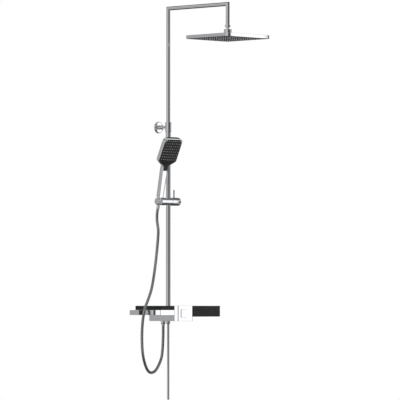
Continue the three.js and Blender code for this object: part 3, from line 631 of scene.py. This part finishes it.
def rain_plate_brightened_black():
    """The rain head's matt moulding, which shows next to no sheen at a shallow angle. Its black is about three
    times lighter than the covers' black: painted light that makes up for the little light that reaches the
    underside.
    """
    made = Finish("rain_plate_brightened_black").set(Metallic=0.0)
    made.shader.inputs["Specular IOR Level"].default_value = 0.12
    # Painted light: a black about three times lighter than the covers', for the dimly lit underside.
    made.colours(made.noise(8.0, 3.0), (0.026, 0.0262, 0.027), (0.034, 0.0342, 0.035))
    made.rough(made.between(made.noise(45.0, 4.0), 0.6, 0.75))
    made.relief(made.noise(1800.0, 2.0), 0.00001)
    return made.material


def turned_brass():
    """Bare brass with the fine rings of the lathe and a dulled skin."""
    made = Finish("turned_brass").set(Metallic=1.0)
    made.colours(made.noise(60.0, 4.0), (0.60, 0.44, 0.19), (0.74, 0.57, 0.28))
    made.rough(made.between(made.noise(120.0, 4.0), 0.25, 0.42))
    made.relief(made.noise(900.0, 1.0, (1, 12, 1)), 0.00002)
    return made.material


def brushed_steel():
    """Stainless steel with a short brushed grain along its length."""
    made = Finish("brushed_steel").set(Metallic=1.0)
    made.colours(made.noise(70.0, 4.0, (1, 1, 0.1)), (0.50, 0.51, 0.53), (0.62, 0.63, 0.65))
    made.rough(made.between(made.noise(200.0, 3.0, (1, 1, 0.05)), 0.28, 0.42))
    made.relief(made.noise(1500.0, 2.0, (1, 1, 0.04)), 0.00001)
    return made.material


def slippery_white():
    """The white running plastic of the bushes, slightly milky."""
    made = Finish("slippery_white").set(Metallic=0.0)
    made.colours(made.noise(40.0, 3.0), (0.78, 0.78, 0.75), (0.84, 0.84, 0.81))
    made.rough(made.between(made.noise(90.0, 3.0), 0.38, 0.5))
    return made.material


def black_rubber():
    """Soft matt rubber with a dusty bloom."""
    made = Finish("black_rubber").set(Metallic=0.0)
    made.colours(made.noise(80.0, 4.0), (0.018, 0.018, 0.02), (0.035, 0.035, 0.037))
    made.rough(made.between(made.noise(200.0, 3.0), 0.6, 0.8))
    made.relief(made.noise(3000.0, 2.0), 0.00002)
    return made.material


def nozzle_grey():
    """The nozzles' soft silicone: grey, slightly shiny and a little uneven."""
    made = Finish("nozzle_grey").set(Metallic=0.0)
    made.colours(made.noise(90.0, 3.0), (0.30, 0.30, 0.31), (0.40, 0.40, 0.41))
    made.rough(made.between(made.noise(200.0, 3.0), 0.3, 0.45))
    return made.material


def silver_hose():
    """A silver strip wound under a clear smooth skin: fine turns seen along the hose."""
    made = Finish("silver_hose").set(Metallic=0.9)
    made.shader.inputs["Coat Weight"].default_value = 0.6
    made.shader.inputs["Coat Roughness"].default_value = 0.08
    mapping = made.add("ShaderNodeMapping")
    mapping.inputs["Rotation"].default_value = (0, 0, 0.0022)
    wave = made.add("ShaderNodeTexWave", Scale=110.0, Distortion=0.0)
    wave.bands_direction = "Y"
    made.join(made.coordinates.outputs["UV"], mapping.inputs["Vector"])
    made.join(mapping.outputs["Vector"], wave.inputs["Vector"])
    made.colours(wave.outputs["Fac"], (0.30, 0.305, 0.315), (0.36, 0.365, 0.375))
    made.rough(made.between(made.noise(60.0, 3.0), 0.2, 0.3))
    made.relief(wave.outputs["Fac"], 0.00001)
    return made.material


finishes = {
    "chrome": polished_chrome(),
    "black_plastic": satin_black(),
    "face": nozzle_face_black(),
    "rain_plate": rain_plate_brightened_black(),
    "brass": turned_brass(),
    "steel": brushed_steel(),
    "white_plastic": slippery_white(),
    "rubber": black_rubber(),
    "hose": silver_hose(),
    "nozzle": nozzle_grey(),
}


def dress(obj, slot):
    """Gives an object one of the column's finishes."""
    obj.data.materials.clear()
    obj.data.materials.append(finishes[slot])


for part in (hose_lower, hose_middle, hose_upper):
    dress(part, "hose")

# The frames round the dial and the button take the black rubber finish as painted shadow in the gaps.
for part, slot in (
    (body, "chrome"), (face, "face"), (jets, "nozzle"), (rain, "nozzle"), (dial_painted_shadow_gap, "rubber"),
    (button_painted_shadow_gap, "rubber"),
):
    dress(part, slot)
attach(body, "handset")
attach(face, "handset")
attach(jets, "handset")
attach(rain, "rain_head")
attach(dial_painted_shadow_gap, "mixer")
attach(button_painted_shadow_gap, "dial")

# ------------------------------------------------------------------ the CAD nodes' finishes and eased edges
EASED = {  # how far each node's sharp edges are rounded
    "mixer_cover": 0.0014, "left_wing": 0.0008, "right_wing": 0.0008, "left_shelf_cover": 0.0028,
    "right_shelf_cover": 0.0028, "flow_lever": 0.0008, "lever_inlay": 0.0005, "temperature_dial": 0.0006,
    "diverter_button": 0.0009, "rain_head_shell": 0.0010, "bracket_post": 0.0004, "holder": 0.0005,
}
WELD_DISTANCE = 0.000005
SMOOTH_UNDER = math.radians(28)
ROUNDED_OVER = math.radians(40)
ROUNDING_SEGMENTS = 3


def eased_edges():
    """A modifier's node group that joins loose triangles, shades smooth what meets at a small angle, and
    marks the edges that stand out sharply for rounding."""
    group = bpy.data.node_groups.new("eased_edges", "GeometryNodeTree")
    group.interface.new_socket("Geometry", in_out="INPUT", socket_type="NodeSocketGeometry")
    group.interface.new_socket("Geometry", in_out="OUTPUT", socket_type="NodeSocketGeometry")
    start = group.nodes.new("NodeGroupInput")
    weld = group.nodes.new("GeometryNodeMergeByDistance")
    weld.inputs["Distance"].default_value = WELD_DISTANCE
    faces = group.nodes.new("GeometryNodeSetShadeSmooth")
    faces.domain = "FACE"
    edges = group.nodes.new("GeometryNodeSetShadeSmooth")
    edges.domain = "EDGE"
    edges.inputs["Shade Smooth"].default_value = False
    angle = group.nodes.new("GeometryNodeInputMeshEdgeAngle")
    steep = group.nodes.new("FunctionNodeCompare")
    steep.operation = "GREATER_THAN"
    steep.inputs["B"].default_value = SMOOTH_UNDER
    outward = group.nodes.new("FunctionNodeCompare")
    outward.operation = "GREATER_THAN"
    outward.inputs["B"].default_value = ROUNDED_OVER
    marked = group.nodes.new("GeometryNodeStoreNamedAttribute")
    marked.domain = "EDGE"
    marked.data_type = "FLOAT"
    marked.inputs["Name"].default_value = "bevel_weight_edge"
    end = group.nodes.new("NodeGroupOutput")
    link = group.links.new
    link(start.outputs[0], weld.inputs["Geometry"])
    link(weld.outputs["Geometry"], faces.inputs["Geometry"])
    link(faces.outputs["Geometry"], edges.inputs["Geometry"])
    link(angle.outputs["Unsigned Angle"], steep.inputs["A"])
    link(steep.outputs["Result"], edges.inputs["Selection"])
    link(angle.outputs["Signed Angle"], outward.inputs["A"])
    link(edges.outputs["Geometry"], marked.inputs["Geometry"])
    link(outward.outputs["Result"], marked.inputs["Value"])
    link(marked.outputs["Geometry"], end.inputs[0])
    return group


edge_group = eased_edges()
# The rain nozzle plate takes the brightened black, which is painted light for its dimly lit underside.
FINISH_OF = {"rain_nozzle_plate": "rain_plate", "knob_pin": "black_plastic"}
slot_of = {row["node"]: row["material_slot"] for row in frame["record"]["subparts"]}
for name, node in frame["nodes"].items():
    dress(node, FINISH_OF.get(name, slot_of[name]))
    shading = node.modifiers.new("eased_edges", "NODES")
    shading.node_group = edge_group
    if name in EASED:
        rounding = node.modifiers.new("rounded_edges", "BEVEL")
        rounding.width = EASED[name]
        rounding.segments = ROUNDING_SEGMENTS
        rounding.limit_method = "WEIGHT"
        rounding.harden_normals = True
        rounding.use_clamp_overlap = False

# ------------------------------------------------------------------ light and stage
# Greys of the room as (place, brightness). The first goes by bearing, from -X round by -Y, +X and +Y, as
# shares of a full turn.
LEVEL_GREYS = [
    (0.0, 0.58), (0.126, 0.58), (0.142, 0.04), (0.160, 0.04), (0.163, 0.22), (0.171, 0.22), (0.174, 0.04),
    (0.242, 0.04), (0.247, 0.30), (0.253, 0.30), (0.258, 0.04), (0.326, 0.04), (0.329, 0.22), (0.337, 0.22),
    (0.340, 0.04), (0.3575, 0.04), (0.3605, 1.3), (0.390, 1.3), (0.396, 0.04), (0.450, 0.04), (0.480, 0.30),
    (0.540, 0.30), (0.580, 0.05), (0.655, 0.05), (0.690, 0.34), (0.80, 0.46), (0.85, 0.42), (0.90, 0.42),
    (0.94, 0.58), (1.0, 0.58),
]
# By height, from straight down at 0 to straight up at 1.
BEYOND_GREYS = [
    (0.0, 0.10), (0.10, 0.04), (0.175, 0.04), (0.215, 0.24), (0.27, 0.48), (0.36, 0.68), (0.58, 0.90),
    (0.73, 0.75), (0.77, 0.40), (0.80, 0.08), (0.825, 0.08), (0.85, 0.20), (0.90, 0.45), (1.0, 0.60),
]
# The bearings at which the cloth behind the column stands taller.
BEHIND_SHARE = [(0.0, 0.0), (0.51, 0.0), (0.55, 1.0), (0.67, 1.0), (0.70, 0.0), (1.0, 0.0)]
BEHIND_TALLER = 0.36
LEVEL_UNTIL, BEYOND_FROM = 0.24, 0.44  # the height, as a sine, between which one gives way to the other
BLUE_SHARE = 1.01  # a trace of blue in every grey
FLOOR_BELOW = 0.17
FLOOR_RADIUS = 2.6
FLOOR_SIDES = 96
FLOOR_GREY = 0.86
FLOOR_ROUGHNESS = 0.7


def ramp_of(nodes, stops):
    """A colour ramp of greys from (position, brightness) pairs."""
    ramp = nodes.new("ShaderNodeValToRGB")
    elements = ramp.color_ramp.elements
    elements[0].position, elements[1].position = stops[0][0], stops[-1][0]
    for position, _ in stops[1:-1]:
        elements.new(position)
    for element, (_, value) in zip(elements, stops):
        element.color = (value, value, value * BLUE_SHARE, 1)
    return ramp


def studio_light():
    """A pale room round the column. Near the level of the eye it goes by bearing: soft grey on the left, a
    white screen square to the right that the front faces mirror, and dark cloth on both sides of it that
    gives the tubes their edge. The dark cloth behind the column is taller. Above and below it is light, and
    dim overhead and at the floor's foot. Behind the column the camera sees plain white."""
    world = bpy.data.worlds.new("studio")
    world.use_nodes = True
    nodes = world.node_tree.nodes
    links = world.node_tree.links
    nodes.clear()
    coordinates = nodes.new("ShaderNodeTexCoord")
    apart = nodes.new("ShaderNodeSeparateXYZ")
    links.new(coordinates.outputs["Generated"], apart.inputs["Vector"])
    bearing = nodes.new("ShaderNodeMath")
    bearing.operation = "ARCTAN2"
    links.new(apart.outputs["Y"], bearing.inputs[0])
    links.new(apart.outputs["X"], bearing.inputs[1])
    share = nodes.new("ShaderNodeMapRange")
    share.inputs["From Min"].default_value = -math.pi
    share.inputs["From Max"].default_value = math.pi
    links.new(bearing.outputs[0], share.inputs["Value"])
    level = ramp_of(nodes, LEVEL_GREYS)
    links.new(share.outputs["Result"], level.inputs["Fac"])
    rise = nodes.new("ShaderNodeMapRange")
    rise.inputs["From Min"].default_value = -1.0
    links.new(apart.outputs["Z"], rise.inputs["Value"])
    beyond = ramp_of(nodes, BEYOND_GREYS)
    links.new(rise.outputs["Result"], beyond.inputs["Fac"])
    height = nodes.new("ShaderNodeMath")
    height.operation = "ABSOLUTE"
    links.new(apart.outputs["Z"], height.inputs[0])
    behind = ramp_of(nodes, BEHIND_SHARE)
    links.new(share.outputs["Result"], behind.inputs["Fac"])
    lowered = nodes.new("ShaderNodeMath")
    lowered.operation = "MULTIPLY_ADD"
    lowered.inputs[1].default_value = -BEHIND_TALLER
    links.new(behind.outputs["Color"], lowered.inputs[0])
    links.new(height.outputs[0], lowered.inputs[2])
    away = nodes.new("ShaderNodeMapRange")
    away.interpolation_type = "SMOOTHSTEP"
    away.inputs["From Min"].default_value = LEVEL_UNTIL
    away.inputs["From Max"].default_value = BEYOND_FROM
    links.new(lowered.outputs[0], away.inputs["Value"])
    room = nodes.new("ShaderNodeMix")
    room.data_type = "RGBA"
    links.new(away.outputs["Result"], room.inputs["Factor"])
    links.new(level.outputs["Color"], room.inputs["A"])
    links.new(beyond.outputs["Color"], room.inputs["B"])
    studio = nodes.new("ShaderNodeBackground")
    links.new(room.outputs["Result"], studio.inputs["Color"])
    backdrop = nodes.new("ShaderNodeBackground")
    backdrop.inputs["Color"].default_value = (1, 1, 1, 1)
    rays = nodes.new("ShaderNodeLightPath")
    mix = nodes.new("ShaderNodeMixShader")
    out = nodes.new("ShaderNodeOutputWorld")
    links.new(rays.outputs["Is Camera Ray"], mix.inputs["Fac"])
    links.new(studio.outputs["Background"], mix.inputs[1])
    links.new(backdrop.outputs["Background"], mix.inputs[2])
    links.new(mix.outputs["Shader"], out.inputs["Surface"])
    bpy.context.scene.world = world


def soft_lamp(name, place, target, size, power):
    """A square lamp aimed at a point, which polished faces don't mirror."""
    data = bpy.data.lights.new(name, "AREA")
    data.size = size
    data.energy = power
    lamp = bpy.data.objects.new(name, data)
    lamp.location = place
    lamp.rotation_euler = (Vector(target) - Vector(place)).to_track_quat("-Z", "Y").to_euler()
    lamp.visible_glossy = False
    bpy.context.scene.collection.objects.link(lamp)


def pale_floor():
    """A plain round floor below the column."""
    angle = np.linspace(0, 2 * np.pi, FLOOR_SIDES, endpoint=False)
    low = cad_box[0][2] - FLOOR_BELOW
    points = np.stack([
        FLOOR_RADIUS * np.cos(angle), FLOOR_RADIUS * np.sin(angle), np.full(FLOOR_SIDES, low),
    ], axis=-1)
    floor = piece_from("floor", points, np.arange(FLOOR_SIDES)[None, :], smooth=False)
    material = bpy.data.materials.new("floor_pale")
    material.use_nodes = True
    shader = material.node_tree.nodes["Principled BSDF"]
    shader.inputs["Base Color"].default_value = (FLOOR_GREY, FLOOR_GREY, FLOOR_GREY, 1)
    shader.inputs["Roughness"].default_value = FLOOR_ROUGHNESS
    floor.data.materials.append(material)
    floor.visible_glossy = False


studio_light()
soft_lamp("lamp_front", (2.2, -3.4, 2.6), (0.0, -0.1, 0.5), 2.2, 45)
soft_lamp("lamp_left", (-3.4, -0.6, 1.8), (0.0, -0.1, 0.5), 1.6, 14)
soft_lamp("lamp_above", (0.0, -0.2, 5.0), (0.0, -0.2, 0.0), 5.0, 260)
pale_floor()
bpy.context.scene.view_settings.view_transform = "Standard"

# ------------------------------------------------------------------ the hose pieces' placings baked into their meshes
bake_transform(hose_lower)
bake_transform(hose_middle)
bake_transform(hose_upper)
